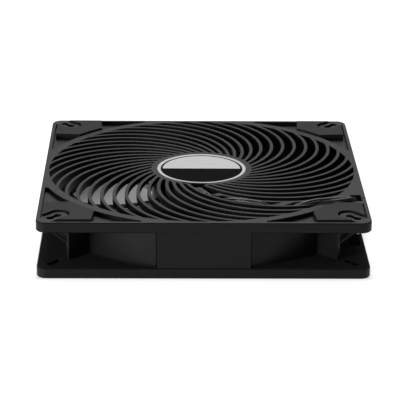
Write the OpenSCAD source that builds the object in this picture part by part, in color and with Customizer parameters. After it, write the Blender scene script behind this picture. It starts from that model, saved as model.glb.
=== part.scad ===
// Square case fan, lying with its intake face down and its outlet grille up.
// Millimetres. Origin at the centre of the intake face, +Z towards the outlet.

/* [Frame] */
// Side of the square frame
frame_w = 180; // [140:1:220]
// Height from the intake face to the outlet face
frame_h = 32; // [26:0.5:44]
// Thickness of each flange
flange_t = 5.8; // [4.8:0.1:7]
// Plan radius of the flange corners
corner_r = 5.5; // [4:0.5:8]
// Bevel round the outer edges of the flanges
edge_bevel = 0.5; // [0.2:0.1:0.8]
// Thinnest duct wall, at the middle of each side
side_wall = 2.5; // [2:0.1:4]
// Full thickness of the duct wall where the frame leaves room for it
duct_wall = 3.5; // [3:0.1:6]
// Width of the flat block at the middle of each side
side_block = 50.2; // [40:0.1:66]
// Depth of the flared lip at the intake
flare_h = 4; // [2:0.5:6]
// Width added to the duct by the flared lip
flare_w = 1.2; // [0.5:0.1:1.6]
// Thickness of the upright web in each corner
web_t = 1.8; // [1.2:0.1:3]
// Reach of the web from the duct wall
web_reach = 15; // [8:0.5:17]
// Thickness of the slanting brace from the web to the upper flange
brace_t = 0.9; // [0.6:0.1:1.6]
// Drop of the brace between the upper flange and the web
brace_drop = 11.8; // [6:0.1:13]

/* [Corner pockets and pads] */
// Width of the rim left round the pockets
rim_w = 2.1; // [1.5:0.1:4]
// Width of the ring left round the duct at the top
ring_w = 4.9; // [3:0.1:7]
// Depth of the corner pockets
pocket_d = 2.4; // [2:0.1:4.4]
// Length of each side of the frame that no pocket reaches
pocket_free = 67; // [40:1:90]
// Height of the pads above the outlet face
pad_proud = 1; // [0.2:0.1:1.5]
// Gap round the pads
pad_gap = 1.1; // [0.3:0.1:1.4]
// Pad's edge on the outer side, from the side of the frame
pad_far = 30.8; // [26:0.1:34]
// Pad's wing, from the side of the frame
pad_wing = 18.3; // [14:0.1:22]
// Slant of the pad's wing ends
pad_slant = 1.2; // [0:0.1:4]

/* [Screw holes] */
// Distance of the outer screw holes from the sides of the frame
hole_inset = 7.5; // [6:0.1:9]
// Step from an outer hole to its inner neighbour, along each side
hole_step = 4; // [3.6:0.1:6]
// Diameter of the screw holes
hole_d = 4.3; // [3.5:0.1:5]
// Width of the neck that joins the two holes
neck_w = 2.8; // [1:0.1:3.2]
// Width of the screw boss
boss_w = 8.4; // [6:0.1:9]
// Radius of the boss round the inner hole
boss_r = 4.7; // [3.6:0.1:5.5]

/* [Grille and hub base] */
// Number of spiral ribs
rib_count = 40; // [24:1:44]
// Width of a rib
rib_w = 1.8; // [1.4:0.1:2.4]
// Depth of the ribs at the duct
rib_h = 4.9; // [3:0.1:6]
// Depth of the ribs at the hub base
rib_root_h = 2.2; // [2:0.1:5]
// Radius of the arc that each rib follows
rib_arc_r = 54.4; // [50:0.1:70]
// Angle between a rib's two ends, seen from the centre
rib_sweep = 64.2; // [50:0.1:70]
// Radius of the hub base
hub_r = 29; // [24:0.1:36]
// Width of the hub base that shows round the label
label_inset = 3.6; // [2.4:0.1:5]
// Thickness of the label
label_t = 0.25; // [0.1:0.05:0.4]
// Thickness of the hub plate under the label
plate_t = 1.4; // [1:0.1:2]
// Height of the hub base's skirt
skirt_h = 7; // [6.4:0.1:9]
// Thickness of the skirt
skirt_t = 1.6; // [1:0.1:2.4]

/* [Impeller] */
// Number of blades
blade_count = 7; // [5:1:8]
// Gap between blade tips and duct
tip_gap = 1.5; // [0.8:0.1:3]
// Largest thickness of a blade
blade_t = 2; // [1.2:0.1:3]
// Angle that a blade spans at its root
root_span = 44.2; // [30:0.1:44.5]
// Angle that a blade spans at its tip
tip_span = 45.5; // [30:0.1:46]
// Forward sweep of the tip
tip_sweep = 28.7; // [0:0.1:40]
// Gap between the grille and the blade's upper edge at its root
root_drop = 5.6; // [3:0.1:8]
// Gap between the grille and the blade's upper edge at its tip
tip_drop = 9; // [3:0.1:10]
// Height of the hub cup's underside above the intake face
cup_z = 2.4; // [1.5:0.1:4]
// Thickness of the cup's floor
cup_floor = 2; // [1.4:0.1:3]
// Thickness of the cup's wall
cup_wall = 1.4; // [1:0.1:2]
// Gap between the cup's rim and the hub base
rim_gap = 0.8; // [0.5:0.1:2]
// Turn of the impeller at rest
rest_turn = 28; // [0:0.5:72]

/* [Motor] */
// Diameter of the shaft
shaft_d = 4; // [3:0.1:5]
// Radial clearance of the shaft in its bearing
run_gap = 0.03; // [0.02:0.01:0.08]
// Clearance of parts that are pressed together
seat_gap = 0.05; // [0.02:0.01:0.1]
// Outer diameter of the sleeve bearing
bearing_d = 8.9; // [8:0.1:10]
// Wall of the bearing tube
tube_wall = 1; // [0.8:0.1:1.4]
// Thickness of the steel yoke
yoke_t = 0.95; // [0.6:0.05:1.4]
// Thickness of the ring magnet
magnet_t = 2.55; // [1.5:0.05:3.5]
// Height of the ring magnet
magnet_h = 12; // [8:0.5:14]
// Air gap between magnet and stator
air_gap = 0.6; // [0.4:0.05:1.2]
// Height of the stator's stack of sheets
stack_h = 8; // [5:0.5:10]
// Width of the stator's arms
arm_w = 5; // [3:0.1:6]
// Thickness of the winding round each arm
winding_t = 2.2; // [1:0.1:2.6]
// Thickness of the circuit board
board_t = 1.2; // [0.8:0.1:1.6]

/* [Lead] */
// Diameter of one wire
wire_d = 1.1; // [0.9:0.05:1.4]
// Gap between neighbouring wires
wire_gap = 0.2; // [0.1:0.05:0.3]
// Length of one turn of the twist
twist_pitch = 36; // [20:1:60]
// Length of the hole that takes the lead through each flange
lead_hole_l = 10; // [6:0.5:12]
// Width of the slit from that hole to the edge
slit_w = 0.9; // [0.6:0.1:1.4]
// Mean diameter of the coil's loops
coil_d = 28; // [26:0.5:38]
// Gap between the coil's turns and between its layers
coil_gap = 0.54; // [0.45:0.01:1]
// Thickness of the coil's tie
tie_t = 0.5; // [0.4:0.1:0.8]
// Width of the tie
tie_w = 3; // [2:0.5:5]

/* [Connector] */
// Pitch of the contacts
pin_pitch = 2.54; // [2:0.01:2.54]
// Length of the connector
plug_l = 12; // [10:0.5:16]
// Height of the connector
plug_h = 5.8; // [5:0.1:7]

/* [Hidden] */
$fn = 128;
over = 0.5;
far = frame_w * 2;

half_w = frame_w / 2;
duct_r = half_w - side_wall;
wall_r = duct_r + duct_wall;
ring_r = duct_r + ring_w;
top_flange_z = frame_h - flange_t;
block_inset = 0.25;
// Fine groove round the ends and the foot of each side block
groove_w = 0.7;
groove_d = 1;
// Bead where the duct wall stands on the lower flange
foot_w = 0.8;
hole_a = half_w - hole_inset;
hole_b = hole_a - hole_step;

// Rib arc: a circle through the rib's start on the hub and its end on the duct
rib_start = [hub_r, 0];
rib_end = duct_r * [cos(rib_sweep), sin(rib_sweep)];
rib_mid = (rib_start + rib_end) / 2;
rib_chord = rib_end - rib_start;
rib_rise = sqrt(rib_arc_r * rib_arc_r - rib_chord * rib_chord / 4);
rib_centre = rib_mid + rib_rise * [-rib_chord[1], rib_chord[0]] / norm(rib_chord);
rib_centre_angle = atan2(rib_centre[1], rib_centre[0]);
rib_step = 360 / rib_count;
rib_z = frame_h - rib_h;
// Angle of the rib beside which the lead runs, and of the next one
lead_rib_angle = 254.4;
next_rib_angle = lead_rib_angle + rib_step;

// Radius at a part of the way from the hub base to the duct
function way_out(part) = hub_r + part * (duct_r - hub_r);

// Angle that a rib has turned through at a radius
function rib_angle(r) =
    rib_centre_angle
    - acos((r * r + rib_centre * rib_centre - rib_arc_r * rib_arc_r) / (2 * r * norm(rib_centre)));

// The next rib starts further out, which leaves the lead a channel
channel_out_r = way_out(0.248);
channel_r = [way_out(0.058), way_out(0.145)];
channel_w = 4.2;
channel_floor = 1;
channel_z = frame_h - 1.9;
clip_t = 1.1;
hook_r = [way_out(0.26), way_out(0.32)];
hook_slot = 1.2;
bridge_r = [way_out(0.73), way_out(0.8)];
window_in = [246, 275];
window_out = [257, 273];
window_rim = 1.2;

plate_z = frame_h - label_t - 0.05 - plate_t;
skirt_z = frame_h - skirt_h;
skirt_in_r = hub_r - skirt_t;
label_r = hub_r - label_inset;
label_seat_r = label_r + 0.2;

// Bearing and shaft
shaft_r = shaft_d / 2;
bearing_r = bearing_d / 2;
tube_in_r = bearing_r + seat_gap;
tube_r = tube_in_r + tube_wall;
tube_boss_r = tube_r + seat_gap + 2;
board_z = skirt_z + 1;
board_r = skirt_in_r - 1;
board_top = board_z + board_t;
thrust_t = 1;
shaft_top = plate_z - thrust_t - seat_gap;
clip_z = shaft_top - 1.3;
groove_h = 0.6;
groove_r = shaft_r - 0.5;
bearing_top = clip_z - 0.45;

// Rotor
cup_r = hub_r - 0.6;
cup_in_r = cup_r - cup_wall;
cup_floor_z = cup_z + cup_floor;
cup_top = skirt_z - rim_gap;
cup_round = 2.5;
yoke_r = cup_in_r - seat_gap;
yoke_in_r = yoke_r - yoke_t;
magnet_r = yoke_in_r - seat_gap;
magnet_in_r = magnet_r - magnet_t;
stator_r = magnet_in_r - air_gap;
motor_z = (cup_floor_z + cup_top) / 2 + 1.5;
bush_r = bearing_r - seat_gap;
bush_z = cup_z + 0.8;
bush_top = cup_floor_z + 4;
tube_z = bush_top + 0.8;
seal_h = 2;
seal_z = tube_z + 1.2;

// Stator
stack_z = motor_z - stack_h / 2;
stack_top = stack_z + stack_h;
core_in_r = tube_r + seat_gap;
core_ring_r = core_in_r + 4;
shoe_t = 3.2;
shoe_in_r = stator_r - shoe_t;
shoe_span = 76;
pole_count = 4;
insulator_t = 1.2;
insulator_rim = 3;
coil_in = core_ring_r + 0.5;
coil_out = shoe_in_r - 1.3;
pin_r = 0.35;
pin_ring_r = core_ring_r - 0.5;
// Rims outside the windings clear their outer corners
rim_in_r = norm([coil_out, arm_w / 2 + winding_t + 0.1]) + 0.1;

// Blades: stations out from the hub and points along the chord
blade_rows = 9;
blade_cols = 9;
blade_bow = 0.17;
blade_root_r = cup_r - cup_wall / 2;
blade_tip_r = duct_r - tip_gap;
root_lead_z = cup_floor_z + 0.4;
tip_lead_z = cup_floor_z + 0.4;
root_rise = rib_z - root_drop - root_lead_z;
tip_rise = rib_z - tip_drop - tip_lead_z;

// Lead holes through the flanges
lead_hole_x = [half_w - 8.4, half_w - 2.5];
lead_hole_y = -half_w * 5 / 9;
lead_fill_y = [lead_hole_y - 8.9, lead_hole_y + 30];
lead_fill_x = half_w - 20;

// Lead: three wires, side by side at first and then twisted
bundle_r = wire_d / sqrt(3) + 0.7 * wire_gap;
lead_r = bundle_r + wire_d / 2;
flat_pitch = wire_d + wire_gap;

// Coil behind the fan
coil_centre = [half_w - 23, half_w + 20];
coil_z = lead_r + 0.67;
coil_pitch = 2 * lead_r + coil_gap;
coil_in_turns = 1;
coil_climb_turns = 0.5;
coil_out_turns = 0.75;
coil_turns = coil_in_turns + coil_climb_turns + coil_out_turns;
coil_outer_r = coil_d / 2 + coil_pitch / 2;
coil_inner_r = coil_outer_r - coil_pitch * coil_in_turns;
coil_dip = 0.8;
coil_rings = 24;
coil_sides = 6;
coil_end_r = coil_inner_r + coil_pitch * coil_out_turns;
coil_start = [coil_centre[0] + coil_outer_r, coil_centre[1] - 2 * lead_r, coil_z];
coil_stop = [coil_centre[0] - 2 * lead_r, coil_centre[1] + coil_end_r, coil_z + coil_pitch];

// Connector
plug_x = coil_centre[0] - 26;
plug_y = coil_centre[1] + coil_end_r - 0.6;
plug_z = plug_h / 2;
plug_w = pin_pitch * 3 + 0.6;
socket_w = 1.7;
socket_l = plug_l - 3;
contact_w = 1.4;
contact_l = 6;

// Places along the lead: inside the hub, between two ribs, and near the hole at the edge
function in_hub(part, angle, dz) =
    [part * hub_r * cos(angle), part * hub_r * sin(angle), frame_h + dz];

function in_gap(part, side, dz) =
    let (r = way_out(part), a = lead_rib_angle + rib_angle(r) + side * rib_step)
    [r * cos(a), r * sin(a), frame_h + dz];

function by_hole(dx, dy, z) = [half_w + dx, lead_hole_y + dy, z];

// From the board, out of the hub, under the two clips and to the hole near the edge
held_route = [in_hub(0.62, 243, -4.1), in_hub(0.73, 252, -4), in_hub(0.845, 258, -3.6),
              in_hub(0.98, 262.7, -2.4), in_gap(0.051, 0.79, -1.1), in_gap(0.13, 0.61, -1.1),
              in_gap(0.186, 0.59, -1.6), in_gap(0.243, 0.53, -2.6), in_gap(0.297, 0.5, -2.8),
              in_gap(0.352, 0.5, -2.3), in_gap(0.405, 0.5, -0.7), in_gap(0.477, 0.5, 0.3),
              in_gap(0.556, 0.5, 0.3), in_gap(0.629, 0.5, -0.4), in_gap(0.68, 0.5, -1.8),
              in_gap(0.726, 0.5, -2.7), in_gap(0.802, 0.5, -2.7), in_gap(0.844, 0.5, -1.3),
              in_gap(0.892, 0.46, 0.5), in_gap(0.944, 0.36, 1.6),
              by_hole(-22, -6.2, frame_h + 1.7), by_hole(-16, -5.3, frame_h + 1.7),
              by_hole(-11, -4.3, frame_h + 1.7), by_hole(-8.2, -3.6, frame_h + 1.4),
              by_hole(-6.7, -3.2, frame_h - 0.3), by_hole(-6.4, -3.1, frame_h - 3),
              by_hole(-6.4, -3, top_flange_z)];

// Down between the flanges, over the lower one and along the side to the coil
ledge_z = flange_t + lead_r + 0.07;
floor_z = lead_r + 0.17;
drop = top_flange_z - ledge_z;
side_y = [lead_hole_y + 50, half_w - 16];
free_route = [by_hole(-6.4, -3, top_flange_z), by_hole(-6.4, -2.6, ledge_z + 0.78 * drop),
              by_hole(-6.1, -0.8, ledge_z + 0.52 * drop), by_hole(-5.4, 2.4, ledge_z + 0.26 * drop),
              by_hole(-4.4, 6, ledge_z + 0.1 * drop), by_hole(-3, 10, ledge_z + 0.02 * drop),
              by_hole(-1.4, 13.8, ledge_z), by_hole(0.4, 18, ledge_z),
              by_hole(1.9, 22.6, ledge_z - 0.5), by_hole(2.8, 29, ledge_z - 2.6),
              by_hole(3, 35, floor_z + 1.1), by_hole(3.2, 42, floor_z + 0.1),
              for (part = [0 : 0.2 : 1])
                  [half_w + 3.2, side_y[0] + part * (side_y[1] - side_y[0]), floor_z],
              [half_w + 3, half_w - 8, floor_z], [half_w + 1.4, half_w - 1, floor_z + 0.1],
              [half_w - 2.8, half_w + 5, floor_z + 0.3], [half_w - 7, half_w + 10, coil_z],
              coil_start - [0, 3, 0], coil_start];

// From the coil to the back of the connector
end_route = [coil_stop, coil_stop - [3, 0, 0], [plug_x + 16, plug_y + 0.5, plug_z + 1.7],
             [plug_x + 11, plug_y + 0.2, plug_z + 0.7], [plug_x + 6, plug_y, plug_z + 0.1],
             [plug_x + 2.5, plug_y, plug_z], [plug_x, plug_y, plug_z]];
// Wires lie side by side up to the first place and are fully twisted from the second
flat_until = 0.17;
twist_from = 0.24;
bundle_angles = [150, 270, 30];
wire_sides = 8;
held_steps = 62;
free_steps = 60;
end_steps = 12;

black = [0.06, 0.06, 0.065];
rubber = [0.1, 0.1, 0.1];
steel = [0.7, 0.7, 0.72];

// Plan shapes

module rounded_square(w, r) {
    square([w, w - 2 * r], center = true);
    square([w - 2 * r, w], center = true);
    for (x = [-1, 1], y = [-1, 1])
        translate([x, y] * (w / 2 - r)) circle(r);
}

module ring_2d(r_out, r_in) {
    difference() {
        circle(r_out);
        circle(r_in);
    }
}

// Sector of a ring between two angles less than 180 degrees apart
module sector_2d(r_out, r_in, from, to) {
    intersection() {
        ring_2d(r_out, r_in);
        polygon([[0, 0], for (a = [from, (from + to) / 2, to]) far * [cos(a), sin(a)]]);
    }
}

// The four corners, as mirror images of the corner at +X +Y
module each_corner() {
    for (x = [0, 1], y = [0, 1])
        mirror([x, 0]) mirror([0, y]) children();
}

module solid_corners() {
    for (x = [0, 1], y = [0, 1])
        mirror([x, 0, 0]) mirror([0, y, 0]) children();
}

// Two screw holes joined by a neck, at the corner at +X +Y
module hole_pair_2d() {
    translate([hole_a, hole_a]) circle(d = hole_d, $fn = 48);
    translate([hole_b, hole_b]) circle(d = hole_d, $fn = 48);
    translate([hole_b, hole_b]) rotate(45)
        translate([0, -neck_w / 2]) square([hole_step * sqrt(2), neck_w]);
}

// Screw boss, which runs from the inner hole to the corner
module boss_2d(grow) {
    inner = hole_b - 0.6;
    translate([inner, inner]) circle(boss_r + grow);
    translate([inner, inner]) rotate(45)
        translate([0, -boss_w / 2 - grow]) square([far, boss_w + 2 * grow]);
}

module pocket_2d() {
    reach = far;
    difference() {
        rounded_square(frame_w - 2 * rim_w, corner_r - rim_w);
        circle(ring_r);
        square([pocket_free, reach], center = true);
        square([reach, pocket_free], center = true);
        each_corner() boss_2d(0);
        translate([lead_fill_x, lead_fill_y[0]])
            square([far, lead_fill_y[1] - lead_fill_y[0]]);
    }
}

// One pad at +X +Y: five-sided, with its outer corner cut away round the boss
module pad_2d() {
    side = half_w - rim_w - pad_gap;
    near = half_w - pad_far;
    wing = half_w - pad_wing;
    difference() {
        polygon([[near + pad_slant, side], [near, wing], [wing, near],
                 [side, near + pad_slant], [side, side]]);
        circle(ring_r + pad_gap);
        boss_2d(pad_gap);
    }
}

// One rib, as the stretch of its arc between two radii; inset narrows or widens it
module rib_2d(r_in, r_out) {
    intersection() {
        translate(rib_centre) ring_2d(rib_arc_r + rib_w / 2, rib_arc_r - rib_w / 2);
        rotate(rib_centre_angle) translate([-far / 2, -far]) square(far);
        ring_2d(r_out, r_in);
    }
}

// Space between the lead's rib and the next one, with a margin kept off the lead's rib
module rib_gap_2d(r_in, r_out, margin) {
    intersection() {
        difference() {
            rotate(lead_rib_angle) translate(rib_centre) circle(rib_arc_r - margin);
            rotate(next_rib_angle) translate(rib_centre) circle(rib_arc_r);
        }
        rotate(lead_rib_angle + rib_centre_angle) translate([-far / 2, -far]) square(far);
        ring_2d(r_out, r_in);
    }
}

// Floor of the lead's channel, along the lead's rib
module channel_2d() {
    inner = rib_arc_r - rib_w / 2;
    intersection() {
        rotate(lead_rib_angle) translate(rib_centre) ring_2d(inner + over, inner - channel_w);
        rotate(lead_rib_angle + rib_centre_angle) translate([-far / 2, -far]) square(far);
        ring_2d(channel_r[1], channel_r[0]);
    }
}

// Solids shared by several pieces

// Square plate with round corners and a bevel round its top and bottom edges
module bevelled_plate(w, t, r, b) {
    profile = [[0, 0], [w / 2 - b, 0], [w / 2, b], [w / 2, t - b], [w / 2 - b, t], [0, t]];
    corner = [[0, 0], [r - b, 0], [r, b], [r, t - b], [r - b, t], [0, t]];
    for (a = [0 : 90 : 270])
        rotate(a) rotate([90, 0, 0])
            linear_extrude(w - 2 * r, center = true) polygon(profile);
    for (x = [-1, 1], y = [-1, 1])
        translate([x, y, 0] * (w / 2 - r)) rotate_extrude() polygon(corner);
}

module tube(r_out, r_in, z0, z1) {
    translate([0, 0, z0]) linear_extrude(z1 - z0) ring_2d(r_out, r_in);
}

// Routes and swept tubes

// Point on a smooth curve through the route's points; t runs from 0 to 1
function route_point(p, t) =
    let (n = len(p) - 1, s = min(t * n, n - 0.0001), i = floor(s), f = s - i,
         a = p[max(i - 1, 0)], b = p[i], c = p[i + 1], d = p[min(i + 2, n)])
    b + f * ((c - a) / 2 + f * (a - 2.5 * b + 2 * c - d / 2 + f * (1.5 * (b - c) + (d - a) / 2)));

function route_points(p, steps) = [for (i = [0 : steps]) route_point(p, i / steps)];

function unit(v) = v / norm(v);

function tangents(p) =
    let (n = len(p) - 1)
    [for (i = [0 : n]) unit(p[min(i + 1, n)] - p[max(i - 1, 0)])];

// Sideways directions along a path, each turned as little as possible from the last
function sideways(t, first) =
    [for (i = 0, s = unit(first - (first * t[0]) * t[0]);
          i < len(t);
          i = i + 1, s = i < len(t) ? unit(s - (s * t[i]) * t[i]) : s) s];

// Closed tube of triangles along a list of points
module swept_tube(p, t, s, r, sides) {
    n = len(p);
    up = [for (i = [0 : n - 1]) cross(t[i], s[i])];
    points = [for (i = [0 : n - 1], j = [0 : sides - 1])
                  let (a = 360 * j / sides) p[i] + r * (cos(a) * s[i] + sin(a) * up[i])];
    walls = [for (i = [0 : n - 2], j = [0 : sides - 1])
                 let (a = i * sides + j, b = i * sides + (j + 1) % sides, c = b + sides, d = a + sides)
                 each [[a, c, b], [a, d, c]]];
    first = [for (j = [1 : sides - 2]) [0, j, j + 1]];
    end = (n - 1) * sides;
    last = [for (j = [1 : sides - 2]) [end, end + j + 1, end + j]];
    polyhedron(points, [each walls, each first, each last]);
}

module plain_tube(p, steps, r, sides, first) {
    q = route_points(p, steps);
    t = tangents(q);
    swept_tube(q, t, sideways(t, first), r, sides);
}

// Frame pieces

module frame() {
    color(black)
    difference() {
        union() {
            bevelled_plate(frame_w, flange_t, corner_r, edge_bevel);
            translate([0, 0, top_flange_z])
                bevelled_plate(frame_w, flange_t, corner_r, edge_bevel);
            round_wall();
            for (a = [0 : 90 : 270]) rotate(a) side_web();
            solid_corners() corner_web();
        }
        translate([0, 0, -over]) cylinder(r = duct_r, h = frame_h + 2 * over);
        intake_flare();
        for (a = [0 : 90 : 270]) rotate(a) side_grooves();
        translate([0, 0, frame_h - pocket_d]) linear_extrude(pocket_d + over) pocket_2d();
        for (z = [-over, top_flange_z - over])
            translate([0, 0, z]) linear_extrude(flange_t + 2 * over) {
                each_corner() hole_pair_2d();
                lead_hole_2d();
            }
    }
}

// Round wall on a narrow bead, cut off inside the faces of the side blocks
module round_wall() {
    reach = half_w - block_inset - 0.2;
    intersection() {
        union() {
            translate([0, 0, edge_bevel]) cylinder(r = wall_r, h = frame_h - 2 * edge_bevel);
            translate([0, 0, flange_t - over])
                cylinder(r1 = wall_r + foot_w + over, r2 = wall_r - over, h = foot_w + 2 * over);
        }
        translate([-reach, -reach, 0]) cube([2 * reach, 2 * reach, frame_h]);
    }
}

// Upright web beside the diagonal, with a brace from its end to the upper flange
module corner_web() {
    web_side = web_t / 2 + 1.1;
    web_r = wall_r + web_reach;
    web_h = top_flange_z - flange_t + 2 * over;
    rotate(45) translate([duct_r + 1, web_side - web_t / 2, flange_t - over])
        cube([web_r - duct_r - 1, web_t, web_h]);
    // The brace keeps clear of a screw in the inner hole
    brace_w = 1.3;
    y = min(web_r / sqrt(2) + 1.05, hole_b - hole_d / 2 - 0.35) - brace_w / 2;
    foot = [y - web_side * sqrt(2), top_flange_z - brace_drop];
    slope = brace_drop / (half_w - edge_bevel - 1.3 - foot[0]);
    thick = [0, brace_t * sqrt(1 + slope * slope) / 2];
    run = (brace_drop + over + thick[1]) / slope;
    head = foot + run * [1, slope];
    translate([0, y, 0]) rotate([90, 0, 0]) linear_extrude(brace_w, center = true)
        polygon([foot - thick, head - thick, head + thick, foot + thick]);
}

// Flat block between the flanges, where the duct comes close to the side
module side_web() {
    translate([duct_r / 2, -side_block / 2, flange_t - over])
        cube([half_w - block_inset - duct_r / 2, side_block, top_flange_z - flange_t + 2 * over]);
}

module side_grooves() {
    end_x = sqrt(wall_r * wall_r - side_block * side_block / 4) - groove_d;
    for (y = [-side_block / 2 - groove_w, side_block / 2])
        translate([end_x, y, flange_t]) cube([half_w - end_x, groove_w, top_flange_z - flange_t]);
    translate([half_w - block_inset - groove_d / 2, -side_block / 2, flange_t])
        cube([groove_d, side_block, 0.6 * groove_w]);
}

module intake_flare() {
    rotate_extrude()
        polygon([[0, -over], [duct_r + flare_w, -over], [duct_r + flare_w, 0],
                 for (a = [15 : 15 : 75])
                     [duct_r + flare_w * (1 - sin(a)), flare_h * (1 - cos(a))],
                 [duct_r, flare_h], [0, flare_h]]);
}

// Hole for the lead, with a slit to the side of the frame
module lead_hole_2d() {
    translate([lead_hole_x[0], lead_hole_y - lead_hole_l / 2])
        square([lead_hole_x[1] - lead_hole_x[0], lead_hole_l]);
    translate([lead_hole_x[0], lead_hole_y - slit_w / 2]) square([far, slit_w]);
}

module outlet_grille() {
    color(black)
    difference() {
        union() {
            ribs();
            translate([0, 0, channel_z - channel_floor]) linear_extrude(channel_floor) channel_2d();
            translate([0, 0, frame_h - clip_t]) linear_extrude(clip_t) {
                rib_gap_2d(hook_r[0], hook_r[1], rib_w / 2 + hook_slot);
                rib_gap_2d(bridge_r[0], bridge_r[1], 0);
            }
            hub_base();
        }
        translate([0, 0, board_top]) linear_extrude(far) {
            sector_2d(hub_r - window_rim, label_seat_r, window_in[0], window_in[1]);
            sector_2d(hub_r + over, label_seat_r, window_out[0], window_out[1]);
        }
    }
}

// Ribs, which grow deeper from the hub base to the duct
module ribs() {
    slope = (rib_h - rib_root_h) / (duct_r - hub_r);
    in_r = hub_r - 4;
    out_r = duct_r + 4;
    intersection() {
        translate([0, 0, rib_z]) linear_extrude(rib_h) ribs_2d();
        rotate_extrude()
            polygon([[in_r, rib_z + slope * (duct_r - in_r)], [out_r, rib_z + slope * (duct_r - out_r)],
                     [out_r, frame_h + 4], [in_r, frame_h + 4]]);
    }
}

module ribs_2d() {
    for (k = [0 : rib_count - 1])
        rotate(lead_rib_angle + k * rib_step)
            rib_2d(k == 1 ? channel_out_r : hub_r - over, duct_r);
}

module hub_base() {
    rotate_extrude()
        polygon([[0, plate_z], [skirt_in_r, plate_z], [skirt_in_r, skirt_z], [hub_r, skirt_z],
                 [hub_r, frame_h - 0.3], [hub_r - 0.3, frame_h], [label_seat_r, frame_h],
                 [label_seat_r, plate_z + plate_t], [0, plate_z + plate_t]]);
    tube(tube_boss_r, tube_r + seat_gap, board_z, plate_z + over);
}

module corner_pads() {
    color(rubber)
    solid_corners()
        translate([0, 0, frame_h - pocket_d]) linear_extrude(pocket_d + pad_proud) pad_2d();
}

module hub_label() {
    color("silver")
    translate([0, 0, plate_z + plate_t]) cylinder(r = label_r, h = label_t);
}

// Rotor pieces

module impeller() {
    color(black)
    union() {
        difference() {
            union() {
                rotate_extrude()
                    polygon([[0, cup_z], [cup_r - cup_round, cup_z],
                             for (a = [15 : 15 : 75])
                                 [cup_r - cup_round * (1 - sin(a)), cup_z + cup_round * (1 - cos(a))],
                             [cup_r, cup_z + cup_round], [cup_r, cup_top],
                             [cup_in_r, cup_top], [cup_in_r, cup_floor_z], [0, cup_floor_z]]);
                translate([0, 0, cup_floor_z - over]) cylinder(r = bush_r + 2.5, h = 3 + over);
            }
            translate([0, 0, bush_z]) cylinder(r = bush_r + seat_gap, h = far);
        }
        for (k = [0 : blade_count - 1]) rotate(rest_turn + k * 360 / blade_count) blade();
    }
}

function blade_angle(u, v) = -tip_sweep * u * u + v * (root_span + (tip_span - root_span) * u);

function blade_z(u, v) =
    root_lead_z + (tip_lead_z - root_lead_z) * u
    + (root_rise + (tip_rise - root_rise) * u) * (v + blade_bow * sin(180 * v));

function blade_half(v) = blade_t / 2 * (0.3 + 0.7 * sqrt(sin(180 * min(max(v, 0), 1))));

function blade_point(u, v, side) =
    let (r = blade_root_r + (blade_tip_r - blade_root_r) * u, a = blade_angle(u, v))
    [r * cos(a), r * sin(a), blade_z(u, v) + side * blade_half(v)];

// One blade: an upper and a lower skin joined round their rim
module blade() {
    row = blade_cols + 1;
    skin = row * (blade_rows + 1);
    points = [for (side = [1, -1], i = [0 : blade_rows], j = [0 : blade_cols])
                  blade_point(i / blade_rows, j / blade_cols, side)];
    cells = [for (i = [0 : blade_rows - 1], j = [0 : blade_cols - 1]) i * row + j];
    upper = [for (a = cells) each [[a, a + row + 1, a + row], [a, a + 1, a + row + 1]]];
    lower = [for (a = cells) let (b = a + skin)
                 each [[b, b + row, b + row + 1], [b, b + row + 1, b + 1]]];
    rim = [for (i = [0 : blade_rows]) i * row,
           for (j = [1 : blade_cols]) blade_rows * row + j,
           for (i = [blade_rows - 1 : -1 : 0]) i * row + blade_cols,
           for (j = [blade_cols - 1 : -1 : 1]) j];
    edge = [for (k = [0 : len(rim) - 1])
                let (a = rim[k], b = rim[(k + 1) % len(rim)])
                each [[a, b, b + skin], [a, b + skin, a + skin]]];
    polyhedron(points, [each upper, each lower, each edge]);
}

module rotor_yoke() {
    color(steel)
    rotate_extrude()
        polygon([[bush_r + 4, cup_floor_z], [yoke_r, cup_floor_z], [yoke_r, cup_top - 0.6],
                 [yoke_in_r, cup_top - 0.6], [yoke_in_r, cup_floor_z + yoke_t],
                 [bush_r + 4, cup_floor_z + yoke_t]]);
}

module ring_magnet() {
    color([0.16, 0.15, 0.15])
    tube(magnet_r, magnet_in_r, motor_z - magnet_h / 2, motor_z + magnet_h / 2);
}

module shaft_bush() {
    color("goldenrod")
    tube(bush_r, shaft_r + 0.01, bush_z, bush_top);
}

module shaft() {
    bottom = bush_z + 0.4;
    color(steel)
    rotate_extrude()
        polygon([[0, bottom], [shaft_r, bottom], [shaft_r, clip_z], [groove_r, clip_z],
                 [groove_r, clip_z + groove_h], [shaft_r, clip_z + groove_h],
                 [shaft_r, shaft_top - 0.4], [shaft_r - 0.4, shaft_top], [0, shaft_top]]);
}

// Split ring in the shaft's groove
module retaining_clip() {
    color("white")
    translate([0, 0, clip_z + 0.05]) linear_extrude(groove_h - 0.1)
        difference() {
            ring_2d(bearing_r - 1, groove_r + 0.05);
            translate([0, -0.3]) square([far, 0.6]);
        }
}

// Bearing pieces

module bearing_tube() {
    color("goldenrod")
    tube(tube_r, tube_in_r, tube_z, plate_z);
}

module sleeve_bearing() {
    color("peru")
    tube(bearing_r, shaft_r + run_gap, seal_z + seal_h, bearing_top);
}

module thrust_plate() {
    color("white")
    translate([0, 0, plate_z - thrust_t]) cylinder(r = bearing_r, h = thrust_t);
}

module oil_seal() {
    color(rubber)
    tube(bearing_r, shaft_r + 0.25, seal_z, seal_z + seal_h);
}

// Stator pieces

module core_2d() {
    ring_2d(core_ring_r, core_in_r);
    for (k = [0 : pole_count - 1]) rotate(k * 360 / pole_count) {
        translate([core_ring_r - 1, -arm_w / 2]) square([shoe_in_r - core_ring_r + 1.5, arm_w]);
        sector_2d(stator_r, shoe_in_r, -shoe_span / 2, shoe_span / 2);
    }
}

module stator_core() {
    color(steel)
    translate([0, 0, stack_z]) linear_extrude(stack_h) core_2d();
}

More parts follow.
